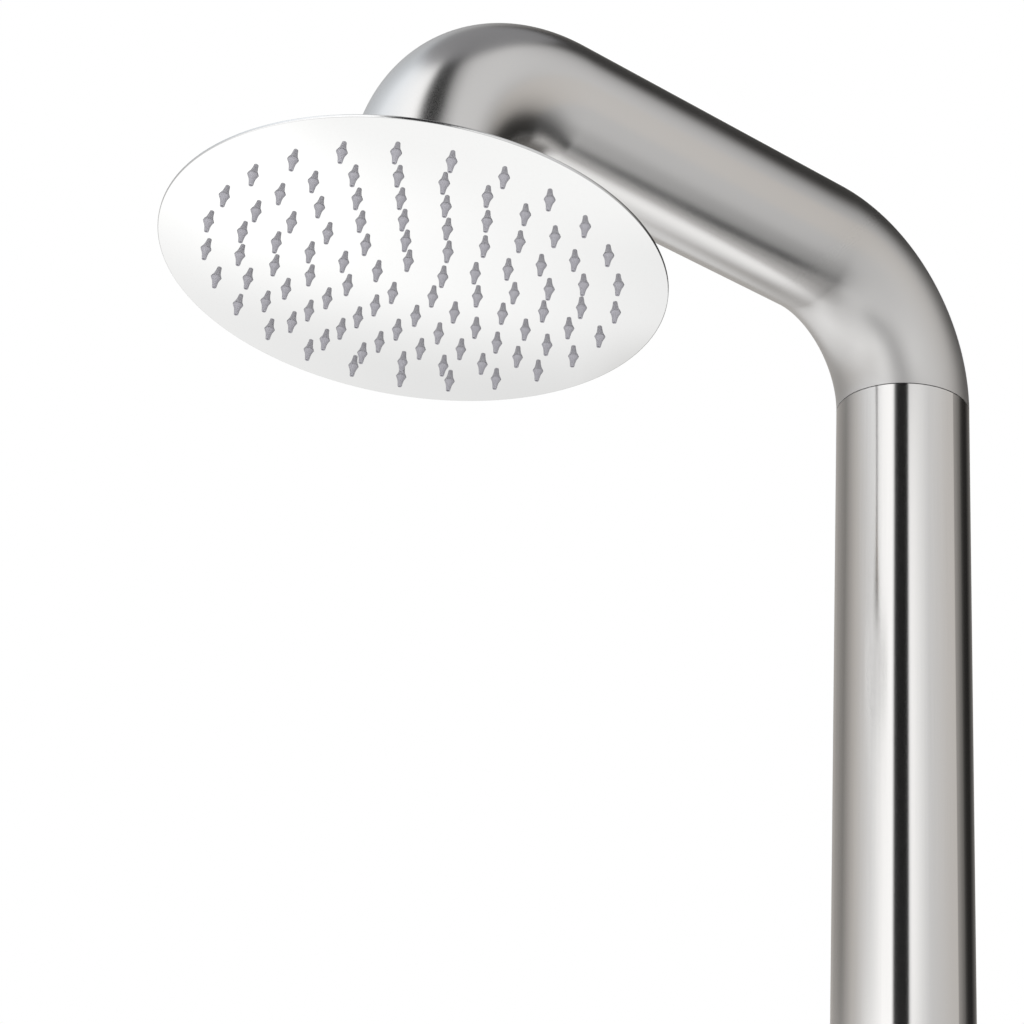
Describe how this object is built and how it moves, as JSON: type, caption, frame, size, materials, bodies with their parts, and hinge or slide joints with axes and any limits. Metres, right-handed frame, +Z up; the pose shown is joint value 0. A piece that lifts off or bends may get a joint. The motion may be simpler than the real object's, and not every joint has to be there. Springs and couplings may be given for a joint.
{
  "type": "outdoor shower post",
  "caption": "Free-standing tubular shower column with a curved arm, a round swivelling rain head, a quarter-turn lever valve, a rear water inlet and a bolted floor flange.",
  "frame": {"origin": "centre of the base flange's underside, on the column's axis and at the centre of the four floor bolts", "axes": "+Z up along the column; -Y is the front, the way the arm and the head reach; +Y is the back, where the water comes in; +X is to the right of someone who looks along +Y"},
  "size_m": [0.22, 0.4913, 2.2],
  "materials": {
    "satin_steel": "satin brushed stainless steel",
    "post_steel": "fine brushed stainless steel, crisp reflections",
    "polished_steel": "mirror polished stainless steel",
    "silicone": "soft grey silicone",
    "black_rubber": "black EPDM rubber",
    "brass": "turned brass",
    "white_plastic": "white acetal",
    "ceramic": "ground ceramic",
    "hose_braid": "steel-braided hose"
  },
  "bodies": {
    "post": {"base_flange": "satin_steel", "base_screws": "polished_steel", "post_tube": "post_steel", "joint_sleeve": "satin_steel", "joint_screws": "polished_steel", "joint_seal": "black_rubber", "arm_tube": "satin_steel", "arm_end_cap": "satin_steel", "outlet_connector": "brass", "filter_washer": "black_rubber", "filter_screen": "polished_steel", "flow_disc": "white_plastic", "stem_washer": "black_rubber", "ball_stem": "polished_steel", "valve_body": "brass", "valve_collar": "polished_steel", "collar_seal": "black_rubber", "cartridge_housing": "brass", "seat_seal": "black_rubber", "fixed_disc": "ceramic", "spindle_seal": "black_rubber", "cartridge_nut": "brass", "inlet_elbow": "brass", "inlet_saddle": "satin_steel", "inlet_seal": "black_rubber", "inlet_nipple": "polished_steel", "supply_fittings": "brass", "supply_ferrules": "satin_steel", "supply_hose": "hose_braid", "riser_fittings": "brass", "riser_ferrules": "satin_steel", "riser_hose": "hose_braid"},
    "lever": {"turning_disc": "ceramic", "spindle": "brass", "lever_handle": "satin_steel", "lever_screw": "polished_steel", "lever_cap": "polished_steel"},
    "swivel": {"ball_liner": "white_plastic"},
    "head": {"swivel_nut": "polished_steel", "head_boss": "polished_steel", "ball_seal": "black_rubber", "head_back_plate": "polished_steel", "nozzle_mat": "silicone", "face_plate": "polished_steel"}
  },
  "joints": [
    {"name": "lever_turn", "type": "hinge", "parent": "post", "child": "lever", "pos_m": [0, 0, 1.1], "axis": [0, 1, 0], "range_deg": [0, 90]},
    {"name": "head_pan", "type": "hinge", "parent": "post", "child": "swivel", "pos_m": [0, -0.28, 2.086], "axis": [0, 0, 1], "continuous": true},
    {"name": "head_tilt", "type": "hinge", "parent": "swivel", "child": "head", "pos_m": [0, -0.28, 2.086], "axis": [1, 0, 0], "range_deg": [-15, 25]}
  ]
}
